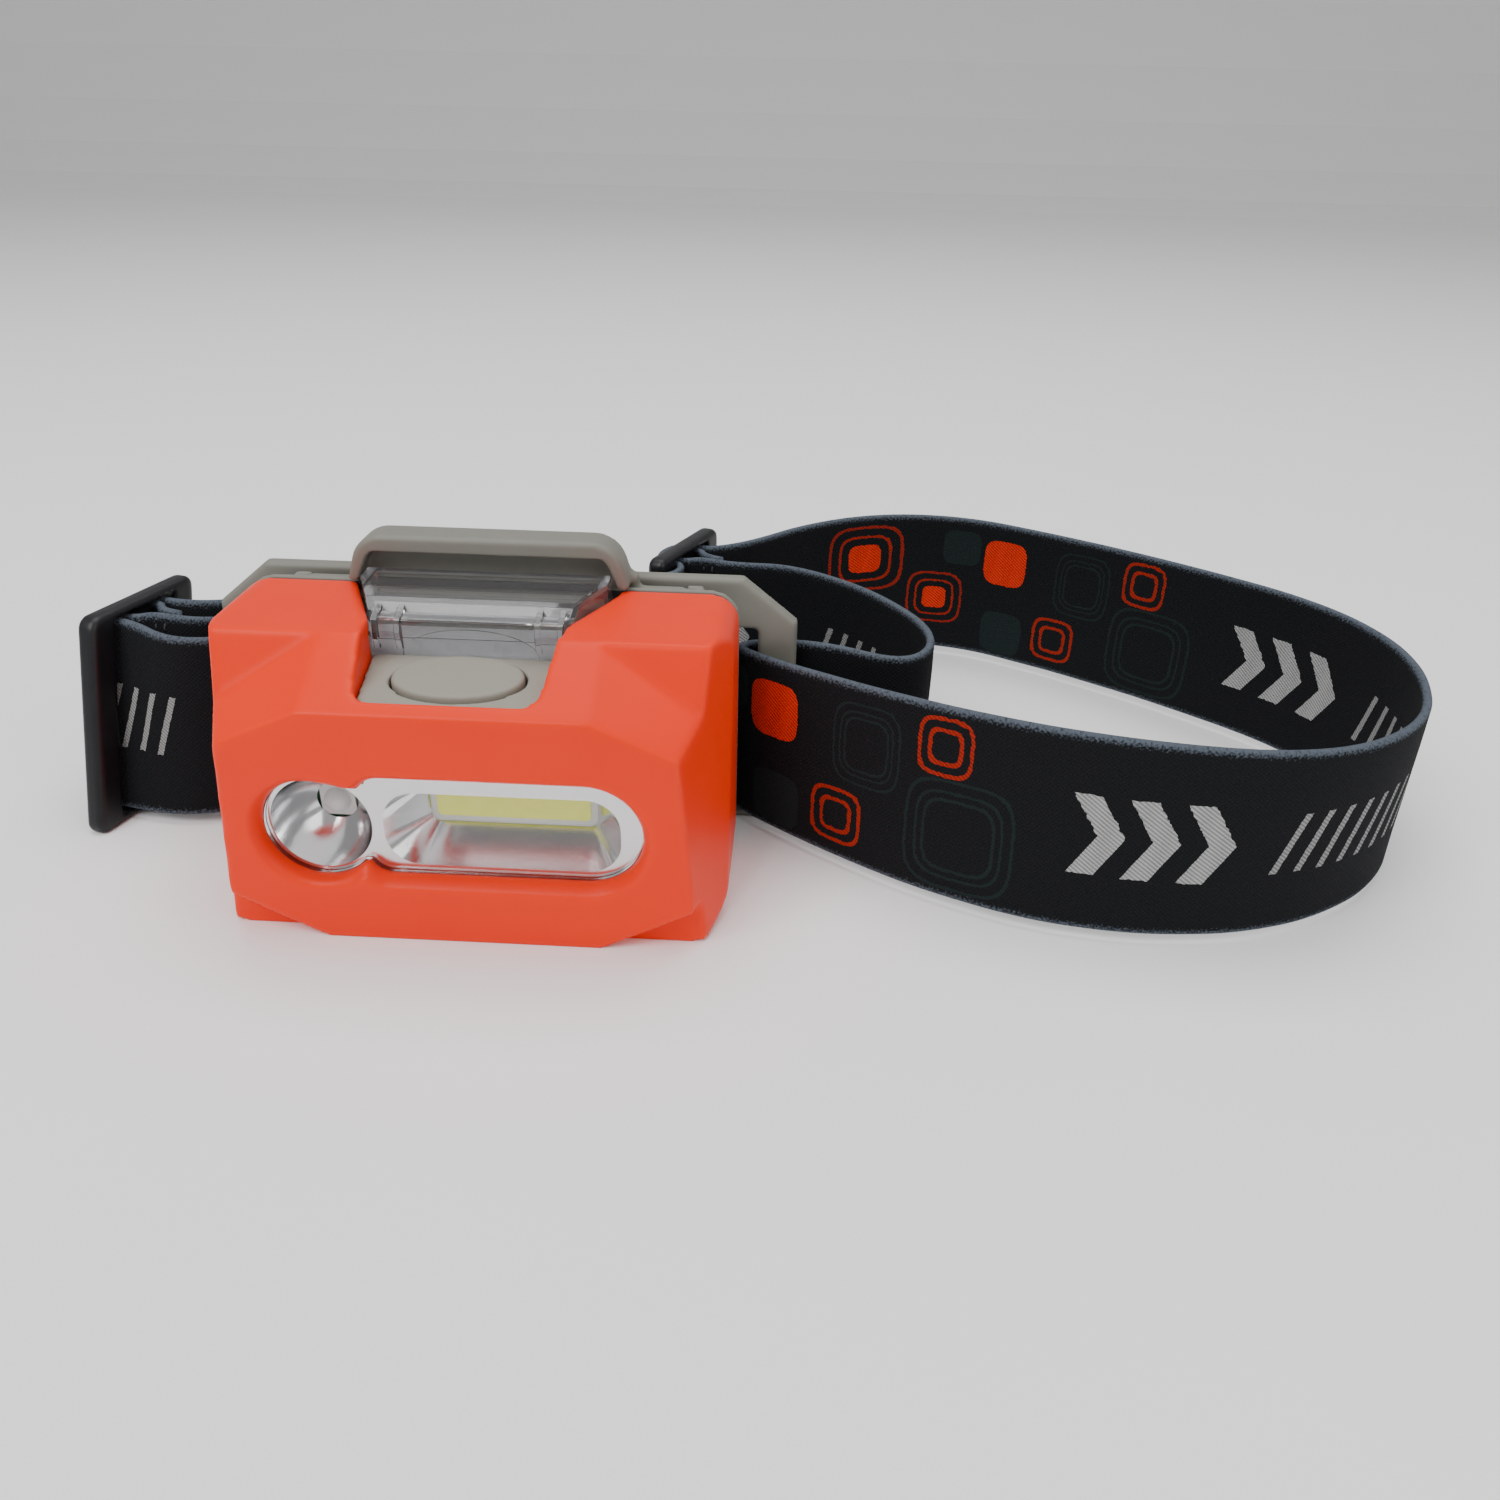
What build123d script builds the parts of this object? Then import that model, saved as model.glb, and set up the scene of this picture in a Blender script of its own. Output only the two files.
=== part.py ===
from build123d import *
import os
from math import atan2, cos, degrees, pi, radians, sin, tan

# Headlamp on an elastic strap, in millimetres. +Z is up, -Y is the way the lamp shines, +X is to the
# right of somebody looking at the lamp's front. The origin is the middle of the lamp's underside.
# Parts: the tilting head (shell, lens, reflector, switch, cells), the bracket that the strap threads
# through, and the strap with its two sliders.

# Head
FRONT_Y = -14.0          # front face of the shell
REAR_Y = 12.0            # open rear edge of the shell
HALF_W = 32.2            # half width of the shell
TOP_Z = 37.4             # top of the shell at the rear edge
CORNER_R = 3.6
LEDGE_Y = -4.0           # where the top ends and the brow slopes down
LEDGE_Z = 36.9
CREASE_Z = 31.1          # foot of the brow, at the front face
CREASE_HALF_W = 16.5     # half length of the level part of the brow's foot
CREASE_END = (27.2, 26.4)    # outer end of the brow's foot, in X and Z
CHEEK = (28.6, 5.0)      # a point of the front face's side edge, in X and Z
CHEEK_SLOPE = (0.38, -0.08)  # how the half width grows backwards and upwards from there
LIP_HALF_W = 17.3        # half length of the front face's lower edge
FOOT_Y = -11.7           # front of the feet, set back under the front face
WALL = 1.6
CASE_FRONT_Y = 0.6       # front face of the clear battery case

# Lamp window, seen from the front: a round spot opening that runs into a long one
WINDOW_Z = 15.4
WINDOW_R = 6.9
SPOT_X = -16.9
SPOT_Z = 14.8
LONG_END_X = 15.6        # centre of the long opening's round end
LONG_START_X = -11.5
LENS_Y = -11.7
LENS_T = 0.6
PLATE_Y = -11.0

# Button
BUTTON_Y = -5.4
BUTTON_W = 15.8
BUTTON_D = 10.2
PANEL_FRONT_Z = 31.5     # height of the soft panel at its front edge
PANEL_REAR_Z = 32.5      # and at the clear case
PANEL_BASE_Z = 29.9
BUTTON_PROUD = 0.6
BUTTON_BASE_Z = PANEL_BASE_Z - 0.9
BOARD_Z = 24.6

# Cells: three AAA, lying across the lamp
CELL_R = 5.2
CELL_L = 44.5
CELL_Y = 7.2
CELL_FIRST_Z = 7.8
CELL_PITCH = 10.5

# Tilt hinge and bracket
HINGE_Y = 16.4
HINGE_Z = 4.0
PIN_R = 1.0
LUG_R = 1.9
BRACKET_Y = 18.6         # front face of the bracket
BRACKET_T = 2.2
BRACKET_HALF_W = 39.7
SLOT_IN_X = 31.3
SLOT_OUT_X = 34.4
SLOT_Z = (1.3, 29.8)
BRACKET_TOP_Z = 36.9
WING_TOP_Z = 30.9        # where the wing's slanted top edge meets its outer edge

# Battery door
DOOR_Y = 13.7
DOOR_T = 2.1
DOOR_HALF_W = 24.7
HOOD_Y = 10.8
HOOD_Z = (37.8, 43.8)
LIP_Z = 41.7             # lower edge of the hood's front lip

# Strap
STRAP_W = 25.5
STRAP_T = 1.1
STRAP_Z = 1.6            # lower edge of the strap
WRAP_X = 33.1            # how far the strap reaches through the bracket's slots
WRAP_FRONT_Y = 17.8
WRAP_REAR_Y = 21.6
SLIDER_HALF_W = 10.0
SLIDER_T = 3.0
SLIDER_LEFT = (-55.2, 20.5, 75.0)    # x, y, and the turn of the slider's width from +X, in degrees
SLIDER_REAR = (20.5, 57.0, 68.0)
FOLD_U = 2.8             # sewn fold round a slider's middle bar
PASS_U = 4.3             # strap that passes over the fold
PASS_V = -3.45

BIG = 160.0


def box(x, y, z):
    """A block from its (low, high) along each axis."""
    size = [high - low for low, high in (x, y, z)]
    return Pos(x[0], y[0], z[0]) * Box(*size, align=(Align.MIN, Align.MIN, Align.MIN))


def upright(y):
    """The plane that faces forward at y, with its own x and y along +X and +Z."""
    return Plane(origin=(0, y, 0), x_dir=(1, 0, 0), z_dir=(0, -1, 0))


def slab(sketch_xz, y_low, y_high):
    """A sketch drawn in X and Z, carried back from y_low to y_high."""
    return extrude(upright(y_high) * sketch_xz, amount=y_high - y_low)


def beyond(point, normal, inset=0.0):
    """All the space outside a plane, which is moved inwards by inset."""
    out = Vector(*normal).normalized()
    plane = Plane(origin=Vector(*point) - out * inset, z_dir=out)
    return plane * Box(BIG, BIG, BIG, align=(Align.CENTER, Align.CENTER, Align.MIN))


def rod(x_low, x_high, y, z, radius):
    """A round bar along X."""
    plane = Plane(origin=(x_low, y, z), z_dir=(1, 0, 0))
    return extrude(plane * Circle(radius), amount=x_high - x_low)


def both_sides(piece):
    """A piece and its mirror image across the middle plane."""
    return piece + mirror(piece, about=Plane.YZ)


def save(part, name, colour):
    part.color = Color(*colour)
    part.label = name
    export_step(part, f"parts/{name}.step")


# ---- shell ---------------------------------------------------------------------------------------

def shell_block(inset, rear_y):
    """The shell's outer form, or with an inset its hollow."""
    outline = RectangleRounded(2 * (HALF_W - inset), TOP_Z - 2 * inset, CORNER_R - inset / 2)
    block = slab(Pos(0, TOP_Z / 2) * outline, FRONT_Y + inset, rear_y)
    depth = LEDGE_Y - FRONT_Y
    roof = (0, LEDGE_Z - TOP_Z, REAR_Y - LEDGE_Y)
    block -= beyond((0, REAR_Y, TOP_Z), roof, inset)
    block -= beyond((0, FRONT_Y, CREASE_Z), (0, CREASE_Z - LEDGE_Z, depth), inset)
    drop = CREASE_Z - CREASE_END[1]
    run = CREASE_END[0] - CREASE_HALF_W
    for side in (-1, 1):
        # Front corner, cut back from the front face's side edge
        cheek = (side * CHEEK[0], FRONT_Y, CHEEK[1])
        block -= beyond(cheek, (side, -CHEEK_SLOPE[0], -CHEEK_SLOPE[1]), inset)
        # Lower corner of the front face, cut back to the foot
        ridge = beyond((side * LIP_HALF_W, FRONT_Y, 0), (side * 5.8, 0, LIP_HALF_W - CHEEK[0]), inset)
        block -= ridge & beyond((0, FOOT_Y, 0), (0, -1, 0), inset)
        # Pocket in the brow: a long facet that falls away outwards under a steep one
        inner_end = (side * CREASE_HALF_W, FRONT_Y, CREASE_Z)
        facet_normal = (side * drop * depth, -run * (LEDGE_Z - CREASE_Z), run * depth)
        facet = beyond(inner_end, facet_normal, inset)
        riser = beyond((0, LEDGE_Y, LEDGE_Z), (0, -8.6, 4), inset)
        block -= facet & riser
    return block


def notch(grow, z_low, z_high=50.0, y_high=REAR_Y + 1.0):
    """The cut in the shell's top, which widens towards the rear."""
    corners = [(10.5, -12.1), (12.2, CASE_FRONT_Y), (17.3, REAR_Y), (17.8, REAR_Y + 1.0)]
    right = [(x + grow, y) for x, y in corners]
    right[0] = (right[0][0], right[0][1] - grow)
    left = [(-x, y) for x, y in reversed(right)]
    plan = make_face(Polyline(*right, *left, close=True))
    front = plan.vertices().sort_by(Axis.Y)[:2]
    plan = fillet(front, 2.2)
    prism = extrude(Plane.XY.offset(z_low) * plan, amount=z_high - z_low)
    return prism & box((-30, 30), (-20, y_high), (z_low - 1, z_high + 1))


def window(grow):
    """The outline of the lamp window, drawn in X and Z."""
    long_w = LONG_END_X - LONG_START_X
    outline = Pos(SPOT_X, SPOT_Z) * Circle(WINDOW_R)
    outline += Pos(LONG_END_X, WINDOW_Z) * Circle(WINDOW_R)
    outline += Pos(LONG_START_X + long_w / 2, WINDOW_Z) * RectangleRounded(long_w, 2 * WINDOW_R, 3.0)
    outline += Pos(LONG_END_X - 3, WINDOW_Z) * Rectangle(6, 2 * WINDOW_R)
    outline += Pos((SPOT_X + LONG_START_X + 2) / 2, WINDOW_Z) * Rectangle(8, 2 * WINDOW_R - 3.2)
    return offset(outline, grow) if grow else outline


def front_shell():
    hollow = shell_block(WALL, REAR_Y + 1.0)
    hollow -= notch(WALL, PANEL_BASE_Z - 1.5, y_high=0.4)
    hollow -= notch(WALL, 35.1)
    hollow -= slab(window(1.4), FRONT_Y, PLATE_Y)
    shell = shell_block(0, REAR_Y) - hollow - notch(0, 20.0)
    shell -= slab(window(0), FRONT_Y - 1, PLATE_Y + 1)
    shell -= loft([upright(FRONT_Y - 0.01) * window(0.9), upright(FRONT_Y + 1.4) * window(0)], ruled=True)
    for z in SCREW_Z:
        boss = slab(Pos(SCREW_X, z) * Circle(1.55), 4.0, REAR_Y)
        boss += box((SCREW_X, HALF_W - 0.5), (4.0, REAR_Y), (z - 0.8, z + 0.8))
        shell += both_sides(boss)
        shell -= both_sides(slab(Pos(SCREW_X, z) * Circle(0.82), 5.0, REAR_Y + 1))
    return shell


SCREW_X = 28.95
SCREW_Z = (10.0, 32.0)


# ---- light ---------------------------------------------------------------------------------------

TROUGH_REAR_Y = -5.4


def lens():
    return slab(window(-0.15), LENS_Y, LENS_Y + LENS_T)


def reflector():
    body = slab(window(-0.2), PLATE_Y, PLATE_Y + 0.3)
    body += slab(window(1.2), PLATE_Y + 0.3, PLATE_Y + 1.3)
    body += slab(window(-0.6), PLATE_Y + 1.3, TROUGH_REAR_Y)
    mouth = Pos(5.15, WINDOW_Z - 0.9) * RectangleRounded(28.9, 10.1, 4.2)
    throat = Pos(5.4, WINDOW_Z + 0.2) * RectangleRounded(21.0, 6.4, 1.2)
    body -= loft([upright(PLATE_Y - 0.01) * mouth, upright(TROUGH_REAR_Y + 0.01) * throat], ruled=True)
    bowl_arc = ThreePointArc((6.2, PLATE_Y), (4.9, -8.0), (2.6, TROUGH_REAR_Y))
    rim = Polyline((2.6, TROUGH_REAR_Y), (0, TROUGH_REAR_Y), (0, PLATE_Y), (6.2, PLATE_Y))
    bowl = revolve(make_face(bowl_arc + rim), axis=Axis.Y)
    return body - Pos(SPOT_X, 0, SPOT_Z) * bowl


def spot_led():
    base = slab(Pos(SPOT_X, SPOT_Z) * RectangleRounded(4.4, 4.4, 0.5), TROUGH_REAR_Y + 0.1, -4.4)
    dome = Pos(SPOT_X, TROUGH_REAR_Y + 0.3, SPOT_Z) * Sphere(1.7)
    return base + (dome - beyond((0, TROUGH_REAR_Y + 0.2, 0), (0, 1, 0)))


def cob_plate():
    return slab(Pos(5.4, WINDOW_Z) * RectangleRounded(25.0, 9.0, 0.8), TROUGH_REAR_Y + 0.1, -4.4)


def cob_phosphor():
    return slab(Pos(5.4, WINDOW_Z + 0.2) * RectangleRounded(19.2, 4.4, 0.6), TROUGH_REAR_Y - 0.25, TROUGH_REAR_Y + 0.1)


def light_board():
    board = box((-22.0, 20.5), (-4.4, -3.2), (WINDOW_Z - 6.0, WINDOW_Z + 6.0))
    return board - slab(Pos(-9.8, WINDOW_Z) * Circle(0.8), -5, -3)


# ---- switch --------------------------------------------------------------------------------------

def panel_plane():
    """The top of the soft panel."""
    fall = (PANEL_REAR_Z - PANEL_FRONT_Z) / (CASE_FRONT_Y - FRONT_Y - 2)
    return (0, FRONT_Y + 2, PANEL_FRONT_Z), (0, -fall, 1)


def switch_panel():
    point, normal = panel_plane()
    panel = notch(-0.15, PANEL_BASE_Z, 35.0, CASE_FRONT_Y - 0.15) - beyond(point, normal)
    hole = Pos(0, BUTTON_Y, 27) * extrude(Ellipse(BUTTON_W / 2 + 0.3, BUTTON_D / 2 + 0.3), amount=10)
    return panel - hole


def button():
    point, normal = panel_plane()
    cap = Pos(0, BUTTON_Y, BUTTON_BASE_Z) * extrude(Ellipse(BUTTON_W / 2, BUTTON_D / 2), amount=6)
    cap -= beyond(point, normal, -BUTTON_PROUD)
    cap = fillet(cap.edges().sort_by(Axis.Z)[-1:], 0.45)
    flange = Pos(0, BUTTON_Y, BUTTON_BASE_Z) * extrude(Ellipse(BUTTON_W / 2 + 0.7, BUTTON_D / 2 + 0.6), amount=0.6)
    stem = Pos(0, BUTTON_Y, BUTTON_BASE_Z - 0.4) * Cylinder(2.0, 0.5, align=(Align.CENTER, Align.CENTER, Align.MIN))
    return cap + flange + stem


def main_board():
    board = box((-13.0, 13.0), (-9.4, 0.2), (BOARD_Z, BOARD_Z + 1.2))
    chip = box((5.0, 9.0), (-7.0, -3.0), (BOARD_Z + 1.2, BOARD_Z + 2.0))
    return board + chip


def tact_switch():
    body = box((-3.0, 3.0), (BUTTON_Y - 3, BUTTON_Y + 3), (BOARD_Z + 1.2, BOARD_Z + 2.4))
    plunger = Pos(0, BUTTON_Y, BOARD_Z + 2.4) * Cylinder(1.7, 0.5, align=(Align.CENTER, Align.CENTER, Align.MIN))
    return body + plunger


# ---- cells ---------------------------------------------------------------------------------------

def case_clip():
    """A catch on the front of the case's crown: two ribs with a pad between them."""
    rib_profile = [(1.2, 33.0), (0.0, 33.3), (-0.5, 35.6), (-0.1, 37.0), (1.6, 37.9), (3.0, 37.9), (3.0, 33.0)]
    pad_profile = [(1.2, 33.6), (0.2, 33.8), (-0.1, 35.6), (0.2, 36.9), (1.2, 37.1)]
    clip = []
    for x, width, profile in ((8.2, 0.7, rib_profile), (8.8, 2.3, pad_profile), (11.0, 0.7, rib_profile)):
        side = Plane(origin=(x, 0, 0), x_dir=(0, 1, 0), z_dir=(1, 0, 0))
        clip.append(extrude(side * make_face(Polyline(*profile, close=True)), amount=width))
    return clip[0] + clip[1] + clip[2]


def clear_case():
    body = box((-27.0, 27.0), (CASE_FRONT_Y, 11.9), (1.75, 34.95))
    steps = [(0.6, 34.0), (0.6, 36.8), (2.4, 37.2), (3.4, 38.7), (6.0, 39.0), (11.9, 39.2), (11.9, 34.0)]
    profile = make_face(Polyline(*steps, close=True))
    side = Plane(origin=(-15.7, 0, 0), x_dir=(0, 1, 0), z_dir=(1, 0, 0))
    crown = extrude(side * profile, amount=31.4) & notch(-0.25, 33.0)
    inner_steps = [(1.9, 34.2), (1.9, 35.8), (3.2, 36.2), (4.2, 37.6), (6.4, 37.9), (11.9, 38.1), (11.9, 34.2)]
    inner = make_face(Polyline(*inner_steps, close=True))
    inner_side = Plane(origin=(-14.5, 0, 0), x_dir=(0, 1, 0), z_dir=(1, 0, 0))
    body = body + crown + both_sides(case_clip())
    body -= slab(Pos(0, 32.4) * Ellipse(8.4, 3.4), CASE_FRONT_Y - 1, CASE_FRONT_Y + 0.35)
    body -= box((-24.6, 24.6), (1.8, 12.5), (2.5, 34.15))
    body -= extrude(inner_side * inner, amount=29.0) & notch(-1.5, 33.0)
    return body


def cell(index):
    """One AAA cell, its button end to the left or right in turn."""
    z = CELL_FIRST_Z + index * CELL_PITCH
    half = CELL_L / 2
    piece = rod(-half, half - 1.2, CELL_Y, z, CELL_R)
    piece = fillet(piece.edges().filter_by(GeomType.CIRCLE), 0.5)
    piece += rod(half - 1.2, half, CELL_Y, z, 1.9)
    return mirror(piece, about=Plane.YZ) if index % 2 else piece


def contact_plates():
    """The flat contacts behind the cells, at both ends of the case."""
    plates = []
    for x in (-24.55, 24.25):
        for index in range(3):
            z = CELL_FIRST_Z + index * CELL_PITCH
            plates.append(box((x, x + 0.3), (CELL_Y - 3.5, CELL_Y + 3.5), (z - 4, z + 4)))
    return Compound(children=plates)


def contact_springs():
    """A coil at each cell's flat end."""
    springs = []
    for index in range(3):
        z = CELL_FIRST_Z + index * CELL_PITCH
        low = 22.5 if index % 2 else -24.0
        coil = Helix(pitch=0.6, height=1.2, radius=2.6)
        start = Plane(origin=coil @ 0, z_dir=coil % 0)
        wire = sweep(start * Circle(0.14), path=coil)
        springs.append(Pos(low + 0.15, CELL_Y, z) * Rot(0, 90, 0) * wire)
    return Compound(children=springs)


def lead(side):
    """A wire from the case's end contact up to the board."""
    x = side * 21.0
    route = [(x, -0.4, 16.0), (x, -1.4, 21.0), (side * 18.5, -2.2, 25.0), (side * 13.1, -2.4, 25.2)]
    path = FilletPolyline(*route, radius=[route_radius(route, i) for i in (1, 2)])
    return sweep(Plane(origin=path @ 0, z_dir=path % 0) * Circle(0.55), path=path)


# ---- rear of the head ----------------------------------------------------------------------------

FLANGE_Y = REAR_Y + 0.4
FLANGE_T = 1.0


def rear_outline(inset):
    height = TOP_Z - 2 * inset
    return Pos(0, TOP_Z / 2) * RectangleRounded(2 * (HALF_W - inset), height, CORNER_R - inset / 2)


def gasket():
    return slab(rear_outline(0.3) - rear_outline(1.3), REAR_Y + 0.02, FLANGE_Y - 0.02)


def rear_housing():
    body = slab(rear_outline(0), FLANGE_Y, FLANGE_Y + FLANGE_T)
    body -= box((-24.5, 24.5), (11, 15), (2.6, 34.1))
    rear = FLANGE_Y + FLANGE_T
    for z in SCREW_Z:
        body -= both_sides(slab(Pos(SCREW_X, z) * Circle(0.9), 11, 15))
    rail = box((25.0, 27.4), (rear, 17.0), (8.2, 36.6))
    rail -= box((24.0, 26.3), (14.3, 15.9), (8.0, 38.0))
    lug = rod(26.4, 29.0, HINGE_Y, HINGE_Z, LUG_R)
    lug += box((26.4, 29.0), (rear, HINGE_Y), (HINGE_Z - LUG_R, HINGE_Z + LUG_R))
    lug -= rod(26.0, 29.5, HINGE_Y, HINGE_Z, PIN_R + 0.05)
    return body + both_sides(rail) + both_sides(lug)


def housing_screws():
    """Four pan-head screws that hold the rear housing to the shell."""
    screws = []
    head_y = FLANGE_Y + FLANGE_T
    for side in (-1, 1):
        for z in SCREW_Z:
            at = Pos(side * SCREW_X, z)
            head = slab(at * Circle(1.25), head_y, head_y + 0.8)
            head = fillet(head.edges().filter_by(GeomType.CIRCLE).sort_by(Axis.Y)[-1:], 0.3)
            head -= slab(at * (Rectangle(1.5, 0.35) + Rectangle(0.35, 1.5)), head_y + 0.4, head_y + 1)
            screws.append(head + slab(at * Circle(0.8), 6.0, head_y))
    return Compound(children=screws)


def hood_outline(inset):
    base, top = HOOD_Z
    low, high = 18.2 - inset, 16.4 - inset
    corners = [(-low, base), (-high, top - inset), (high, top - inset), (low, base)]
    outline = make_face(Polyline(*corners, close=True))
    upper = outline.vertices().sort_by(Axis.Y)[-2:]
    return fillet(upper, 4.2 - inset / 2)


def battery_door():
    """The sliding cover, with the hood on top that a thumb pushes."""
    door = box((-DOOR_HALF_W, DOOR_HALF_W), (DOOR_Y, DOOR_Y + DOOR_T), (2.8, HOOD_Z[0] + 1))
    door += box((-26.05, 26.05), (14.55, 15.65), (8.4, 36.6))
    door -= both_sides(box((18.9, 30), (10, 20), (36.8, 50)))
    hood = slab(hood_outline(0), HOOD_Y, DOOR_Y + DOOR_T)
    lip = hood.edges().filter_by(Axis.Y, reverse=True).group_by(Axis.Y)[0]
    hood = fillet([edge for edge in lip if edge.center().Z > HOOD_Z[0] + 0.1], 0.5)
    hood -= slab(hood_outline(1.5), HOOD_Y + 1.2, DOOR_Y - 0.1)
    hood -= slab(hood_outline(1.5), HOOD_Y - 1, HOOD_Y + 1.3) & box((-30, 30), (0, 30), (0, LIP_Z))
    return door + hood


# ---- bracket and hinge ---------------------------------------------------------------------------

def bracket_outline():
    corners = [(37.4, 0.0), (BRACKET_HALF_W, 2.6), (BRACKET_HALF_W, WING_TOP_Z), (32.3, BRACKET_TOP_Z)]
    left = [(-x, z) for x, z in reversed(corners)]
    return make_face(Polyline(*corners, *left, close=True))


def bracket():
    rear = BRACKET_Y + BRACKET_T
    plate = slab(bracket_outline(), BRACKET_Y, rear)
    plate = chamfer(plate.edges().filter_by(Axis.Y, reverse=True).group_by(Axis.Y)[0], 0.5)
    slot_w = SLOT_OUT_X - SLOT_IN_X
    slot_h = SLOT_Z[1] - SLOT_Z[0]
    slot = RectangleRounded(slot_w, slot_h, 0.6)
    for side in (-1, 1):
        at = Pos(side * (SLOT_IN_X + SLOT_OUT_X) / 2, SLOT_Z[0] + slot_h / 2)
        plate -= slab(at * slot, BRACKET_Y - 1, rear + 1)
    bar_edges = [e for e in plate.edges().filter_by(Axis.Z) if abs(abs(e.center().X) - SLOT_OUT_X) < 0.01]
    plate = fillet(bar_edges, 0.6)
    plate -= slab(Pos(0, 20) * RectangleRounded(40, 20, 3), BRACKET_Y - 1, BRACKET_Y + 0.8)
    ear = rod(29.5, 31.1, HINGE_Y, HINGE_Z, 2.6)
    ear += box((29.5, 31.1), (HINGE_Y, BRACKET_Y + 1), (HINGE_Z - 2.6, HINGE_Z + 2.6))
    ear -= rod(29.0, 32.0, HINGE_Y, HINGE_Z, PIN_R)
    return plate + both_sides(ear)


def hinge_pins():
    pins = [rod(26.4, 31.1, HINGE_Y, HINGE_Z, PIN_R)]
    pins.append(rod(-31.1, -26.4, HINGE_Y, HINGE_Z, PIN_R))
    return Compound(children=pins)


def tilt_washers():
    """The friction washers between the lugs and the ears."""
    washers = []
    for x in (29.05, -29.45):
        washers.append(rod(x, x + 0.4, HINGE_Y, HINGE_Z, LUG_R) - rod(x - 1, x + 1, HINGE_Y, HINGE_Z, PIN_R + 0.05))
    return Compound(children=washers)


def forehead_pad():
    pad = slab(Pos(0, 18.5) * RectangleRounded(54.0, 30.0, 6.0), BRACKET_Y + BRACKET_T + 0.05, 25.2)
    return fillet(pad.edges().filter_by(Axis.Y, reverse=True).group_by(Axis.Y)[-1], 1.6)


# ---- strap ---------------------------------------------------------------------------------------

def on_slider(slider, u, v):
    """A point in plan from a slider's middle: u along its width, v out of its face."""
    x, y, turn = slider
    a = radians(turn)
    return (x + u * cos(a) + v * sin(a), y + u * sin(a) - v * cos(a))


def slider(at):
    """A three-bar slider. Its outer bars are square, and its middle bar is rounded for the fold."""
    x, y, turn = at
    height = STRAP_W + 3.2
    frame = RectangleRounded(2 * SLIDER_HALF_W, height, 1.6)
    gap = RectangleRounded(3.9, STRAP_W + 0.8, 0.5)
    for u in (-3.95, 3.95):
        frame -= Pos(u, 0) * gap
    body = extrude(Plane.XZ.offset(-SLIDER_T / 2) * frame, amount=SLIDER_T)
    upright_edges = body.edges().filter_by(Axis.Z)
    body = fillet([edge for edge in upright_edges if abs(edge.center().X) > SLIDER_HALF_W - 0.1], 0.9)
    body -= both_faces_of_middle_bar()
    return Pos(x, y, STRAP_Z + STRAP_W / 2) * Rot(0, 0, turn) * body


def both_faces_of_middle_bar():
    """What is cut from a slider to thin and round its middle bar."""
    blank = box((-2.1, 2.1), (-2, 2), (-STRAP_W / 2 - 0.4, STRAP_W / 2 + 0.4))
    bar = extrude(Plane.XY.offset(-20) * RectangleRounded(3.9, 2.2, 0.8), amount=40)
    return blank - bar


def turn_at(points, i):
    """The angle that a route turns through at a point, in degrees."""
    into = Vector(*points[i]) - Vector(*points[i - 1])
    out = Vector(*points[i + 1]) - Vector(*points[i])
    return into.get_angle(out)


def route_radius(points, i):
    """The bend at a route's point, as large as its two runs allow."""
    runs = [(Vector(*points[i + k]) - Vector(*points[i + k - 1])).length for k in (0, 1)]
    return 0.45 * min(runs) / tan(radians(turn_at(points, i)) / 2)


def webbing(points):
    """A flat strap on edge along a route in plan."""
    middle = STRAP_Z + STRAP_W / 2
    route = [(x, y, middle) for x, y in points]
    radii = [route_radius(route, i) for i in range(1, len(route) - 1)]
    path = FilletPolyline(*route, radius=radii)
    across = Plane(origin=path @ 0, x_dir=(0, 0, 1), z_dir=path % 0)
    return sweep(across * Rectangle(STRAP_W, STRAP_T), path=path)


def between(a, b):
    return ((a[0] + b[0]) / 2, (a[1] + b[1]) / 2)


def fold(at):
    """The sewn end: in along one face, round the middle bar and back along the other."""
    corners = [(-0.75, 9.5), (-0.75, 3.4), (-FOLD_U, 1.9), (-FOLD_U, -1.9)]
    corners += [(FOLD_U, -1.9), (FOLD_U, 1.9), (0.75, 3.4), (0.75, 6.6)]
    return [on_slider(at, u, v) for u, v in corners]


RIGHT_WRAP = [(WRAP_X, WRAP_REAR_Y), (WRAP_X, WRAP_FRONT_Y)]
LEFT_WRAP = [(-46.5, 12.4), (-40.0, 13.2), (-WRAP_X, WRAP_FRONT_Y), (-WRAP_X, WRAP_REAR_Y), (-40.4, 22.0)]
SMALL_LOOP = [(38.5, 53.0), (51.0, 43.0), (60.0, 27.0), (55.5, 15.5), (42.5, 22.4)]
HEAD_FRONT = [(58.0, 0.8), (80.0, -6.5), (103.0, -6.0), (120.0, 6.0)]
HEAD_BACK = [(128.0, 26.0), (120.5, 44.0), (103.0, 60.0), (86.0, 72.5), (67.0, 83.5), (46.0, 80.0)]
HEAD_BIGHT = between(HEAD_FRONT[-1], HEAD_BACK[0])
REAR_PASS = [(PASS_U, PASS_V), (-PASS_U, PASS_V), (-PASS_U, 2.9), (-11.4, 2.9)]
LEFT_PASS = [(PASS_U, 5.0), (PASS_U, PASS_V), (-PASS_U, PASS_V)]
BEHIND_LAMP = [(-10.0, 37.5), (-43.0, 26.0)]


def strap_small_loop():
    end = between(RIGHT_WRAP[-1], HEAD_FRONT[0])
    return webbing(list(reversed(fold(SLIDER_REAR))) + SMALL_LOOP + RIGHT_WRAP + [end])


def strap_head_front():
    return webbing([between(RIGHT_WRAP[-1], HEAD_FRONT[0])] + HEAD_FRONT + [HEAD_BIGHT])


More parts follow.
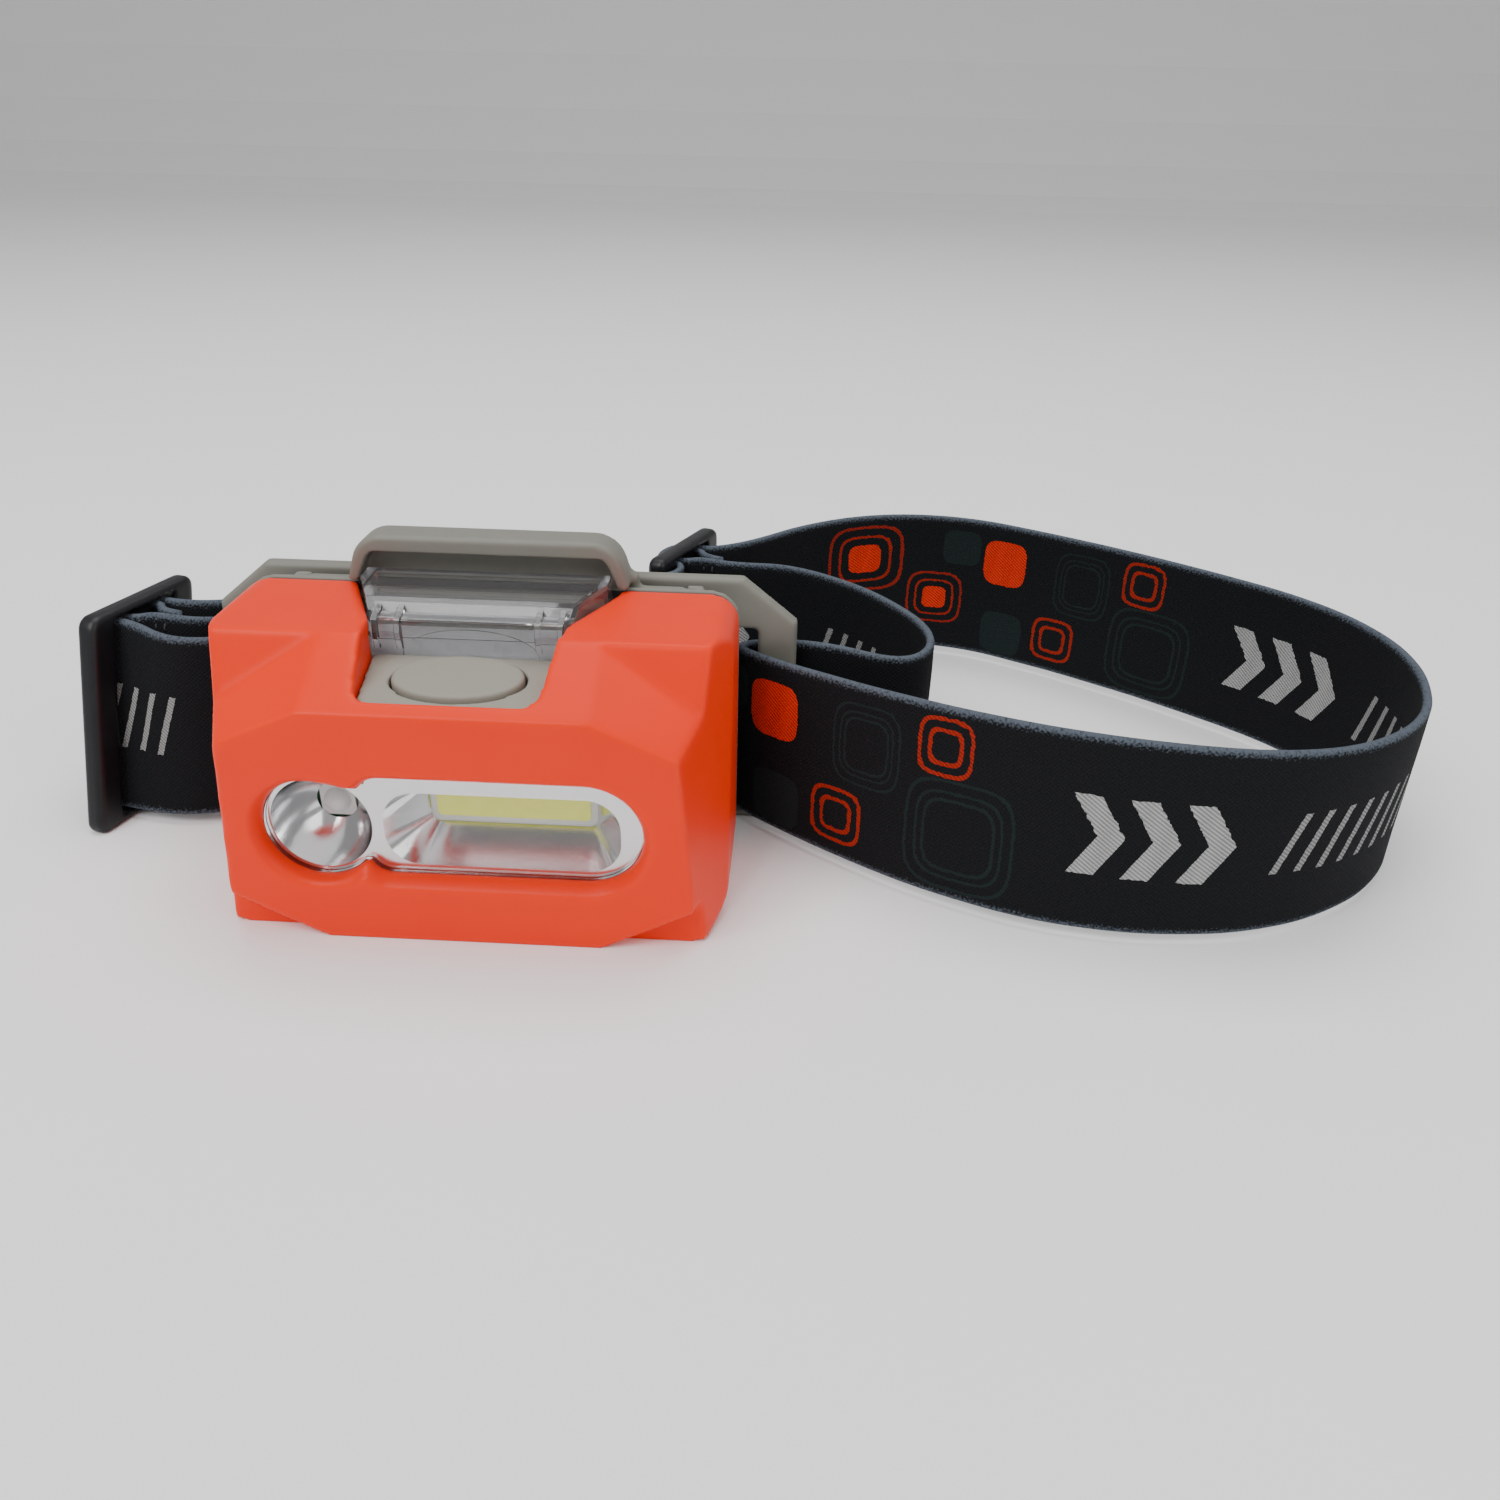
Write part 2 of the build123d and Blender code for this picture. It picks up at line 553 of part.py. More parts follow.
def strap_head_back():
    slot = on_slider(SLIDER_REAR, PASS_U, 5.0)
    return webbing([HEAD_BIGHT] + HEAD_BACK + [slot, between(slot, on_slider(SLIDER_REAR, PASS_U, PASS_V))])


def strap_rear_run():
    slot = on_slider(SLIDER_REAR, PASS_U, 5.0)
    start = between(slot, on_slider(SLIDER_REAR, PASS_U, PASS_V))
    over_rear = [on_slider(SLIDER_REAR, u, v) for u, v in REAR_PASS]
    over_left = [on_slider(SLIDER_LEFT, u, v) for u, v in LEFT_PASS]
    end = between(over_left[-1], on_slider(SLIDER_LEFT, -PASS_U, 2.5))
    return webbing([start] + over_rear + BEHIND_LAMP + over_left + [end])


def strap_left():
    last = on_slider(SLIDER_LEFT, -PASS_U, PASS_V)
    leave = on_slider(SLIDER_LEFT, -PASS_U, 2.5)
    start = between(last, leave)
    return webbing([start, leave] + LEFT_WRAP + fold(SLIDER_LEFT))


ORANGE = (0.95, 0.30, 0.10)
GREY = (0.58, 0.57, 0.54)
BLACK = (0.05, 0.05, 0.06)
CLEAR = (0.85, 0.87, 0.90)
SILVER = (0.80, 0.80, 0.82)
GREEN = (0.10, 0.35, 0.20)
YELLOW = (0.85, 0.80, 0.25)

PIECES = {
    "front_shell": (front_shell, ORANGE),
    "front_lens": (lens, CLEAR),
    "reflector": (reflector, SILVER),
    "spot_led": (spot_led, CLEAR),
    "cob_plate": (cob_plate, SILVER),
    "cob_phosphor": (cob_phosphor, YELLOW),
    "light_board": (light_board, GREEN),
    "switch_panel": (switch_panel, GREY),
    "button": (button, GREY),
    "main_board": (main_board, GREEN),
    "tact_switch": (tact_switch, BLACK),
    "clear_case": (clear_case, CLEAR),
    "contact_plates": (contact_plates, SILVER),
    "contact_springs": (contact_springs, SILVER),
    "shell_gasket": (gasket, BLACK),
    "rear_housing": (rear_housing, GREY),
    "housing_screws": (housing_screws, SILVER),
    "battery_door": (battery_door, GREY),
    "bracket": (bracket, GREY),
    "hinge_pins": (hinge_pins, SILVER),
    "tilt_washers": (tilt_washers, BLACK),
    "forehead_pad": (forehead_pad, BLACK),
    "strap_small_loop": (strap_small_loop, BLACK),
    "strap_head_front": (strap_head_front, BLACK),
    "strap_head_back": (strap_head_back, BLACK),
    "strap_rear_run": (strap_rear_run, BLACK),
    "strap_left": (strap_left, BLACK),
}

os.makedirs("parts", exist_ok=True)
for name, (make, colour) in PIECES.items():
    save(make(), name, colour)
for number in range(3):
    save(cell(number), f"cell_{number + 1}", BLACK)
for name, side in (("lead_left", -1), ("lead_right", 1)):
    save(lead(side), name, ORANGE)
for name, place in (("slider_left", SLIDER_LEFT), ("slider_rear", SLIDER_REAR)):
    save(slider(place), name, BLACK)
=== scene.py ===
from math import cos, hypot, pi, radians, sin

import bpy
from mathutils import Matrix, Vector, noise

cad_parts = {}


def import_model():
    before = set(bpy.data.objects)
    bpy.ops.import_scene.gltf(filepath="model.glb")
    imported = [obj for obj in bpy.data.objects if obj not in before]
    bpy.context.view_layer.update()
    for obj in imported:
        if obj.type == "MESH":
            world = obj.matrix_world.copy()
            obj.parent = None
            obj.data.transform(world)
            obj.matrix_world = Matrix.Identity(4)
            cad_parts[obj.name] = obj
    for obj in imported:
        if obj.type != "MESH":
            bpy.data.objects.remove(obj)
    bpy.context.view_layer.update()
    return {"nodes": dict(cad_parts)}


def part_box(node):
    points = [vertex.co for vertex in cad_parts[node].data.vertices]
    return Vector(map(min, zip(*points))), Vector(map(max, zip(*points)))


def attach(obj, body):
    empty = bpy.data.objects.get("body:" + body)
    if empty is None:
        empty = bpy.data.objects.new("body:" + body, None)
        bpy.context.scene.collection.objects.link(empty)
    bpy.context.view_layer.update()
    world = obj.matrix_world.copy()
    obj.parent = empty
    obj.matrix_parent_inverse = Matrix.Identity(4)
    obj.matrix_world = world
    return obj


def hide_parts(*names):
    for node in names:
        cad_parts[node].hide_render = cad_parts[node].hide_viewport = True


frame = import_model()
NODES = frame["nodes"]
MM = 0.001

# Strap: width, thickness and its lower edge's height, in millimetres
STRAP_W = 25.5
STRAP_T = 1.1
STRAP_Z = 1.6
STRAP_MIDDLE = STRAP_W / 2

# Sliders' middles in plan and how far each is turned: x and y in millimetres, turn in degrees
SLIDER_LEFT = (-55.2, 20.5, 75.0)
SLIDER_REAR = (20.5, 57.0, 68.0)
LEAN = 4.5      # how far the left slider's top leans back from its middle


# ---- materials -----------------------------------------------------------------------------------

class Nodes:
    """One material, with short ways to add its nodes."""

    def __init__(self, name, **values):
        self.material = bpy.data.materials.new(name)
        self.material.use_nodes = True
        self.tree = self.material.node_tree
        self.shader = self.tree.nodes["Principled BSDF"]
        for socket, value in values.items():
            self.shader.inputs[socket.replace("_", " ")].default_value = value

    def add(self, kind, inputs=(), **settings):
        node = self.tree.nodes.new("ShaderNode" + kind)
        for key, value in settings.items():
            setattr(node, key, value)
        for key, value in dict(inputs).items():
            self.put(node.inputs[key], value)
        return node

    def put(self, socket, value):
        if isinstance(value, bpy.types.NodeSocket):
            self.tree.links.new(value, socket)
        else:
            socket.default_value = value

    def set(self, socket, value):
        self.put(self.shader.inputs[socket], value)

    def math(self, operation, *values):
        return self.add("Math", enumerate(values), operation=operation).outputs[0]

    def wave(self, value, length):
        """A sine of value that repeats every length."""
        return self.math("SINE", self.math("MULTIPLY", value, 2 * pi / length))

    def mix(self, share, a, b):
        node = self.add("Mix", {0: share, 6: a, 7: b}, data_type="RGBA")
        return node.outputs[2]

    def place(self):
        """Where the point is in the row frame, in millimetres."""
        at = self.add("TexCoord").outputs["Object"]
        return self.add("VectorMath", {0: at, 3: 1000.0}, operation="SCALE").outputs[0]

    def noise(self, size_mm, detail=2.0, at=None, rough=0.5):
        at = at or self.place()
        inputs = {"Vector": at, "Scale": 1 / size_mm, "Detail": detail, "Roughness": rough}
        return self.add("TexNoise", inputs).outputs[0]

    def ramp(self, value, *stops, sharp=False):
        """Greys at the stops' positions, blended between them or held until the next."""
        node = self.add("ValToRGB", {0: value})
        node.color_ramp.interpolation = "CONSTANT" if sharp else "LINEAR"
        points = node.color_ramp.elements
        while len(points) < len(stops):
            points.new(1.0)
        for point, (position, grey) in zip(points, stops):
            point.position = position
            point.color = (grey, grey, grey, 1.0)
        return node.outputs[0]

    def bump(self, height, depth_mm):
        inputs = {"Height": height, "Distance": depth_mm * MM, "Strength": 1.0}
        self.set("Normal", self.add("Bump", inputs).outputs[0])


def rgba(*colour):
    return (*colour, 1.0)


def plastic(name, colour, shift, rough, grain_mm, grain_depth, edge=0.0, **values):
    """Moulded plastic: a soft cloudiness, a fine grain, and a painted highlight that makes edges a little
    lighter.
    """
    m = Nodes(name, **values)
    cloud = m.noise(9.0, 3.0)
    darker = rgba(*(c * (1 - shift) for c in colour))
    lighter = rgba(*(min(1.0, c * (1 + shift) + shift * 0.02) for c in colour))
    base = m.mix(cloud, darker, lighter)
    if edge:
        # Painted highlight: convex edges are made a little lighter
        point = m.add("NewGeometry").outputs["Pointiness"]
        edge_highlight = m.ramp(point, (0.50, 0.0), (0.62, 1.0))
        share = m.math("MULTIPLY", edge_highlight, edge)
        base = m.mix(share, base, rgba(*(min(1.0, c * 1.35 + 0.03) for c in colour)))
    m.set("Base Color", base)
    grain = m.noise(grain_mm, 4.0, rough=0.6)
    scuff = m.noise(2.6, 5.0)
    mixed = m.math("MULTIPLY_ADD", scuff, 0.16, rough - 0.08)
    m.set("Roughness", mixed)
    m.bump(grain, grain_depth)
    return m.material


def shell_plastic():
    """The lamp's orange plastic: a little light passes into it; ridges get a painted highlight and hollows
    a painted shade.
    """
    m = Nodes("shell_orange", Specular_IOR_Level=0.16, IOR=1.5)
    m.shader.inputs["Subsurface Weight"].default_value = 0.10
    m.shader.inputs["Subsurface Radius"].default_value = (1.0, 0.25, 0.08)
    m.shader.inputs["Subsurface Scale"].default_value = 0.0016
    cloud = m.noise(12.0, 3.0)
    base = m.mix(cloud, rgba(0.82, 0.024, 0.001), rgba(0.88, 0.032, 0.002))
    # Painted highlight: convex ridges are made lighter
    point = m.add("NewGeometry").outputs["Pointiness"]
    ridge_highlight = m.ramp(point, (0.505, 0.0), (0.60, 1.0))
    base = m.mix(m.math("MULTIPLY", ridge_highlight, 0.35), base, rgba(0.95, 0.075, 0.015))
    # Painted shade: concave hollows are made darker
    hollow_shade = m.ramp(point, (0.40, 1.0), (0.495, 0.0))
    base = m.mix(m.math("MULTIPLY", hollow_shade, 0.45), base, rgba(0.46, 0.008, 0.001))
    m.set("Base Color", base)
    smudge = m.noise(5.0, 5.0)
    m.set("Roughness", m.math("MULTIPLY_ADD", smudge, 0.14, 0.30))
    m.bump(m.noise(0.22, 3.0), 0.012)
    return m.material


def metal(name, colour, rough, brush_mm=0.0, depth=0.0):
    """Plain metal, or brushed along X where brush_mm is given."""
    m = Nodes(name, Metallic=1.0)
    cloud = m.noise(2.5, 3.0)
    m.set("Base Color", m.mix(cloud, rgba(*(c * 0.93 for c in colour)), rgba(*colour)))
    m.set("Roughness", m.math("MULTIPLY_ADD", m.noise(0.8, 4.0), 0.10, rough - 0.05))
    if brush_mm:
        stretch = {0: m.place(), 1: (0.15, 1.0, 1.0)}
        along = m.add("VectorMath", stretch, operation="MULTIPLY").outputs[0]
        m.bump(m.noise(brush_mm, 3.0, at=along), depth)
    return m.material


def clear(name, tint, rough, through, index=1.49):
    """Clear plastic that lets a share of the light through."""
    m = Nodes(name, IOR=index, Roughness=rough)
    m.shader.inputs["Transmission Weight"].default_value = through
    lighter = rgba(*(min(1.0, c + 0.02) for c in tint))
    m.set("Base Color", m.mix(m.noise(6.0), rgba(*tint), lighter))
    return m.material


def phosphor():
    """Yellow silicone, which glows a little so that it shows its colour."""
    m = Nodes("phosphor", Roughness=0.35)
    cloud = m.noise(1.2, 3.0)
    m.set("Base Color", m.mix(cloud, rgba(0.70, 0.72, 0.10), rgba(0.82, 0.82, 0.22)))
    m.set("Emission Color", rgba(0.75, 0.80, 0.15))
    m.set("Emission Strength", 0.25)
    m.bump(m.noise(0.5, 2.0), 0.03)
    return m.material


def sleeve():
    """A cell's printed sleeve: silvery, with a dark band near each end."""
    m = Nodes("cell_sleeve", IOR=1.5)
    x = m.add("SeparateXYZ", {0: m.place()}).outputs[0]
    band = m.math("COMPARE", m.math("ABSOLUTE", x), 16.5, 2.2)
    tip = m.math("GREATER_THAN", m.math("ABSOLUTE", x), 21.3)
    base = m.mix(m.noise(3.0), rgba(0.50, 0.51, 0.53), rgba(0.60, 0.61, 0.62))
    base = m.mix(band, base, rgba(0.08, 0.09, 0.12))
    base = m.mix(tip, base, rgba(0.55, 0.54, 0.52))
    m.set("Base Color", base)
    m.set("Roughness", m.math("MULTIPLY_ADD", m.noise(1.5), 0.15, 0.22))
    return m.material


def foam_cloth():
    """Fine knit over foam."""
    m = Nodes("pad_foam", Roughness=0.95)
    m.shader.inputs["Sheen Weight"].default_value = 0.4
    stitch = 0.9
    x, _, z = m.add("SeparateXYZ", {0: m.place()}).outputs
    knit = m.math("MULTIPLY", m.wave(x, stitch), m.wave(z, stitch))
    fuzz = m.noise(0.5, 5.0)
    shade = m.math("MULTIPLY_ADD", knit, 0.3, fuzz)
    m.set("Base Color", m.mix(shade, rgba(0.012, 0.012, 0.014), rgba(0.05, 0.05, 0.055)))
    m.bump(m.math("MULTIPLY_ADD", knit, 0.35, fuzz), 0.16)
    return m.material


# Woven motifs: how far along the pattern, how high, half length and half height, in millimetres
TARGETS = [(12.5, 17.5, 8.0, 6.5), (26.5, 10.0, 5.5, 5.2)]
BLOCKS = [(39.3, 18.3, 4.0, 4.1)]
FRAMES = [(50.0, 6.2, 4.0, 4.1), (65.0, 20.2, 3.8, 4.0)]
DARK_BLOCKS = [(31.0, 20.0, 3.5, 3.2), (40.0, 5.0, 4.0, 4.0)]
DARK_FRAMES = [(54.0, 17.3, 5.2, 6.0), (67.5, 8.6, 7.6, 7.8)]

# How bright a motif is from its middle (0) to its outline (0.5): each step's start and brightness
SOLID = ((0, 1), (0.5, 0))
TARGET_RINGS = ((0, 1), (0.20, 0), (0.30, 0.5), (0.335, 0), (0.435, 0.42), (0.475, 0))
FRAME_RINGS = ((0, 0), (0.235, 0.5), (0.305, 0), (0.425, 0.5), (0.485, 0))
DARK_RINGS = ((0, 0), (0.29, 1), (0.32, 0), (0.36, 1), (0.385, 0), (0.45, 1), (0.48, 0))

# Where the generic chevrons and dashes are: from and to along the pattern, from and to in height
CHEVRONS = (84.5, 104.3, 7.5, 18.0)
DASHES = (103.0, 129.4, 8.5, 17.0)
PATTERN = 137.0         # how long the pattern is before it repeats

RIGHT_START = 70.2      # where the pattern starts along the strap's right face
LEFT_START = 333.0      # and, running the other way, along its left face


def motifs_reach(m, t, h, motifs):
    """How far out from the nearest motif's middle a point is: 0.5 on its rounded outline."""
    nearest = None
    for middle_t, middle_h, half_t, half_h in motifs:
        across = m.math("DIVIDE", m.math("SUBTRACT", t, middle_t), half_t)
        up = m.math("DIVIDE", m.math("SUBTRACT", h, middle_h), half_h)
        quad = [m.math("POWER", m.math("ABSOLUTE", d), 4.0) for d in (across, up)]
        out = m.math("POWER", m.math("ADD", *quad), 0.25)
        nearest = out if nearest is None else m.math("MINIMUM", nearest, out)
    return m.math("DIVIDE", nearest, 2.0)


def strokes(m, at, h, region, pitch, width):
    """A row of strokes. at is how far along a point is, once the strokes' slant is taken off."""
    low_t, high_t, low_h, high_h = region
    inside_t = m.math("COMPARE", at, (low_t + high_t) / 2, (high_t - low_t) / 2)
    inside_h = m.math("COMPARE", h, (low_h + high_h) / 2, (high_h - low_h) / 2)
    step = m.math("WRAP", m.math("SUBTRACT", at, low_t), pitch, 0.0)
    inside = m.math("MULTIPLY", inside_t, inside_h)
    return m.math("MULTIPLY", inside, m.math("LESS_THAN", step, width))


def woven_motifs(m, t, h):
    """Where the strap is woven orange, where dark green and where pale."""
    def shapes(motifs, rings):
        return m.ramp(motifs_reach(m, t, h, motifs), *rings, sharp=True)

    solid = m.math("MAXIMUM", shapes(BLOCKS, SOLID), shapes(FRAMES, FRAME_RINGS))
    bright = m.math("MAXIMUM", shapes(TARGETS, TARGET_RINGS), solid)
    dark = m.math("MAXIMUM", shapes(DARK_BLOCKS, SOLID), shapes(DARK_FRAMES, DARK_RINGS))
    tilt = m.math("ABSOLUTE", m.math("SUBTRACT", h, (CHEVRONS[2] + CHEVRONS[3]) / 2))
    chevron = strokes(m, m.math("MULTIPLY_ADD", tilt, 0.62, t), h, CHEVRONS, 6.6, 3.3)
    dash = strokes(m, m.math("MULTIPLY_ADD", h, -0.35, t), h, DASHES, 3.3, 1.0)
    return bright, dark, m.math("MAXIMUM", chevron, m.math("MULTIPLY", dash, 0.75))


def webbing_cloth():
    """Elastic with a jacquard pattern. UV map "tape" is (how far along, how high) in millimetres."""
    m = Nodes("webbing", Roughness=0.95, Specular_IOR_Level=0.2)
    tape = m.add("UVMap", uv_map="tape").outputs[0]
    along, high, _ = m.add("SeparateXYZ", {0: tape}).outputs
    wobble = m.math("MULTIPLY_ADD", m.noise(0.8, 2.0, at=tape), 0.5, -0.25)
    t = m.math("ADD", m.math("WRAP", along, PATTERN, 0.0), wobble)
    h = m.math("ADD", high, wobble)
    bright, dark, pale = woven_motifs(m, t, h)

    # Twill of the motifs and the finer rib of the ground
    twill = m.wave(m.math("ADD", along, m.math("MULTIPLY", high, 1.4)), 0.75)
    ground = m.math("MULTIPLY", m.wave(high, 0.55), m.wave(along, 0.62))
    lint = m.noise(0.35, 3.0, at=tape)
    fibre = m.math("MULTIPLY_ADD", twill, 0.30, 0.62)

    shade = m.math("MULTIPLY_ADD", ground, 0.25, lint)
    base = m.mix(shade, rgba(0.002, 0.0022, 0.0028), rgba(0.009, 0.010, 0.012))
    base = m.mix(m.math("MULTIPLY", dark, 0.8), base, rgba(0.010, 0.018, 0.018))
    base = m.mix(bright, base, m.mix(fibre, rgba(0.22, 0.008, 0.002), rgba(0.78, 0.032, 0.006)))
    base = m.mix(pale, base, m.mix(fibre, rgba(0.07, 0.07, 0.07), rgba(0.42, 0.43, 0.42)))

    # Fuzzy selvedges, a little lighter
    rim = m.math("ABSOLUTE", m.math("SUBTRACT", high, STRAP_MIDDLE))
    rim = m.math("MULTIPLY_ADD", m.noise(0.32, 3.0, at=tape), 2.4, rim)
    selvedge = m.ramp(m.math("DIVIDE", rim, 20.0), (0.655, 0.0), (0.69, 1.0))
    base = m.mix(m.math("MULTIPLY", selvedge, 0.8), base, rgba(0.10, 0.12, 0.15))
    m.set("Base Color", base)

    relief = m.math("MULTIPLY_ADD", ground, 0.35, m.math("MULTIPLY", lint, 0.5))
    raised = m.math("MULTIPLY", twill, m.math("MAXIMUM", bright, pale))
    m.bump(m.math("MULTIPLY_ADD", raised, 0.3, relief), 0.10)
    return m.material


# ---- making pieces -------------------------------------------------------------------------------

def new_piece(name, mesh, material, body):
    """A smooth-shaded visible piece that moves with a body."""
    piece = bpy.data.objects.new(name, mesh)
    bpy.context.scene.collection.objects.link(piece)
    piece.data.materials.clear()
    piece.data.materials.append(material)
    for polygon in mesh.polygons:
        polygon.use_smooth = True
    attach(piece, body)
    return piece


def moulded(node, voxel_mm, passes, material, body, change=None):
    """A copy of a CAD node with its edges rounded, which stands for it."""
    copy = bpy.data.objects.new("copy", NODES[node].data.copy())
    bpy.context.scene.collection.objects.link(copy)
    remesh = copy.modifiers.new("Remesh", "REMESH")
    remesh.mode = "VOXEL"
    remesh.voxel_size = voxel_mm * MM
    smooth = copy.modifiers.new("Smooth", "SMOOTH")
    smooth.factor = 0.5
    smooth.iterations = passes
    graph = bpy.context.evaluated_depsgraph_get()
    mesh = bpy.data.meshes.new_from_object(copy.evaluated_get(graph))
    bpy.data.objects.remove(copy)
    if change:
        for vertex in mesh.vertices:
            vertex.co = change(vertex.co)
    piece = new_piece(node + "_moulded", mesh, material, body)
    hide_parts(node)
    return piece


def tube_faces(a, b, around):
    """Faces between a ring of vertices that starts at a and the next, which starts at b."""
    return [(a + k, a + (k + 1) % around, b + (k + 1) % around, b + k) for k in range(around)]


# ---- strap ---------------------------------------------------------------------------------------

# How the strap passes over a slider: half its passage's width, and how far behind the slider's middle
PASS_U = 4.3
PASS_V = -3.45


def on_slider(slider, u, v):
    """A point in plan from a slider's middle: u along its width, v out of its face."""
    x, y, turn = slider
    a = radians(turn)
    return x + u * cos(a) + v * sin(a), y + u * sin(a) - v * cos(a)


def leans(height):
    """How far a leaning piece is from its middle line at a height, as a share of its lean at the top."""
    return (height - STRAP_MIDDLE) / STRAP_MIDDLE


def lean_back(point):
    """Leans the left slider the way that the strap through it leans."""
    return point + Vector((0.0, LEAN * leans(point.z / MM - STRAP_Z) * MM, 0.0))


def fold(at):
    """The strap's end, folded round a slider's middle bar and sewn to itself."""
    corners = [(-0.75, 9.5), (-0.75, 3.4), (-2.8, 1.9), (-2.8, -1.9)]
    corners += [(2.8, -1.9), (2.8, 1.9), (0.75, 3.4), (0.75, 6.6)]
    return [on_slider(at, u, v) for u, v in corners]


def leaning(points, x=0.0, y=0.0):
    """Route points with how far the strap's top edge leans from its middle line."""
    return [(*point, x, y) for point in points]


def strap_route():
    """The strap's middle line from its rear fold to its left one, each point (x, y, lean x, lean y)."""
    small_loop = [(38.5, 53.0), (51.0, 43.0), (60.0, 27.0), (55.5, 15.5), (42.5, 22.4)]
    right_wrap = [(32.1, 21.6), (32.1, 17.8)]
    head_back = [(120.5, 44.0), (103.0, 60.0), (86.0, 72.5), (67.0, 83.5), (46.0, 80.0)]
    rear_pass = [(PASS_U, 5.0), (PASS_U, PASS_V), (-PASS_U, PASS_V), (-PASS_U, 2.9), (-11.4, 2.9)]
    left_pass = [(PASS_U, 5.0), (PASS_U, PASS_V), (-PASS_U, PASS_V), (-PASS_U, 2.5)]
    route = leaning(list(reversed(fold(SLIDER_REAR))) + small_loop + right_wrap)
    route += [(58.0, 0.8, 0.0, 2.1), (80.0, -6.5, 0.0, 2.0)]
    route += [(103.0, -6.0, 0.2, -0.2), (120.0, 6.0, -0.6, -1.2)]
    route += leaning([(126.5, 25.5)], -0.6)
    route += leaning(head_back)
    route += leaning([on_slider(SLIDER_REAR, u, v) for u, v in rear_pass])
    route += [(-10.0, 37.5, 0.0, 0.5), (-43.0, 26.0, 0.0, 3.0)]
    route += leaning([on_slider(SLIDER_LEFT, u, v) for u, v in left_pass], y=LEAN)
    route += [(-46.5, 12.4, 0.0, 2.4), (-40.0, 13.2, 0.0, 1.6), (-33.1, 17.8, 0.0, 0.0)]
    route += [(-33.1, 21.6, 0.0, 0.0), (-40.4, 22.0, 0.0, 0.6)]
    route += leaning(fold(SLIDER_LEFT), y=LEAN)
    return [Vector(point) for point in route]


def smooth_line(route, step):
    """Points on the smooth curve that a route's points steer."""
    line = [route[0]]
    last = len(route) - 2
    for i in range(1, last + 1):
        start = route[0] if i == 1 else (route[i - 1] + route[i]) / 2
        end = route[-1] if i == last else (route[i] + route[i + 1]) / 2
        count = max(6, int((end - start).length / step))
        for k in range(1, count + 1):
            t = k / count
            line.append(start * (1 - t) ** 2 + route[i] * 2 * t * (1 - t) + end * t * t)
    return line


def tape_profile():
    """The strap's cross-section, (side, height) up its right face and down its left.

    Also how many of the faces between those points are on its right.
    """
    rows = 14
    edge = [(0.0, 0.0), (0.75, 0.12), (1.0, 0.45)]
    low, high = edge[-1][1], STRAP_W - edge[-1][1]
    right = edge + [(1.0, low + (high - low) * k / rows) for k in range(1, rows)]
    right += [(side, STRAP_W - height) for side, height in reversed(edge)]
    left = [(-side, height) for side, height in reversed(right)][1:-1]
    return right + left, len(right) - 1


# How far the cloth strays from its line, and over what length and height
UNEVEN = 0.10
UNEVEN_LENGTH = 9
UNEVEN_HEIGHT = 8


def strap_section(line, i, distance, profile):
    """The profile's points where the strap is at line[i], slightly uneven as soft cloth is."""
    before, after = line[max(i - 1, 0)], line[min(i + 1, len(line) - 1)]
    dx, dy = after[0] - before[0], after[1] - before[1]
    length = hypot(dx, dy)
    out = (dy / length, -dx / length)
    middle_x, middle_y, lean_x, lean_y = line[i]
    points = []
    for side, height in profile:
        where = Vector((distance / UNEVEN_LENGTH, height / UNEVEN_HEIGHT, 0.0))
        off = side * STRAP_T / 2 + UNEVEN * noise.noise(where)
        x = middle_x + lean_x * leans(height) + out[0] * off
        y = middle_y + lean_y * leans(height) + out[1] * off
        points.append((x * MM, y * MM, (STRAP_Z + height) * MM))
    return points


def strap_mesh(line):
    """The strap along a line, with its UV map "tape"."""
    profile, right_count = tape_profile()
    size = len(profile)
    vertices, along = [], []
    distance = 0.0
    for i, point in enumerate(line):
        if i:
            distance += hypot(point[0] - line[i - 1][0], point[1] - line[i - 1][1])
        along.append(distance)
        vertices += strap_section(line, i, distance, profile)
    faces, spots = [], []
    for i in range(len(line) - 1):
        for k in range(size):
            n = (k + 1) % size
            faces.append((i * size + k, i * size + n, (i + 1) * size + n, (i + 1) * size + k))
            low, high = profile[k][1], profile[n][1]
            start, end = along[i] - RIGHT_START, along[i + 1] - RIGHT_START
            if k >= right_count:
                start, end = LEFT_START - along[i], LEFT_START - along[i + 1]
            spots += [(start, low), (start, high), (end, high), (end, low)]
    last = (len(line) - 1) * size
    faces.append([k for k in range(size)][::-1])
    faces.append([last + k for k in range(size)])
    spots += [(0.0, 0.0)] * (2 * size)
    mesh = bpy.data.meshes.new("strap")
    mesh.from_pydata(vertices, [], faces)
    tape = mesh.uv_layers.new(name="tape")
    for corner, spot in zip(tape.data, spots):
        corner.uv = spot
    return mesh


# Rows of stitches across a fold: how far out of the slider each is, and the stitches in it
STITCH_ROWS = (4.4, 5.9)
STITCHES = 17
STITCH_PITCH = 1.36
STITCH_LENGTH = 1.0
FIRST_STITCH = 1.6
THREAD_R = 0.14
STITCH_END = 1.28       # how far a stitch's ends are from the middle of the doubled strap
STITCH_RISE = 0.20      # how much further out its middle is


def stitch_ring(slider, side, v, z, bend, lean, around):
    """A ring of a stitch's thread at height z. The thread stands out of the strap by its bend."""
    points = []
    for k in range(around):
        angle = 2 * pi * k / around
        u = side * (STITCH_END + STITCH_RISE * bend) + THREAD_R * cos(angle)
        x, y = on_slider(slider, u, v + THREAD_R * sin(angle))
        y += lean * leans(z - STRAP_Z)
        points.append((x * MM, y * MM, z * MM))
    return points


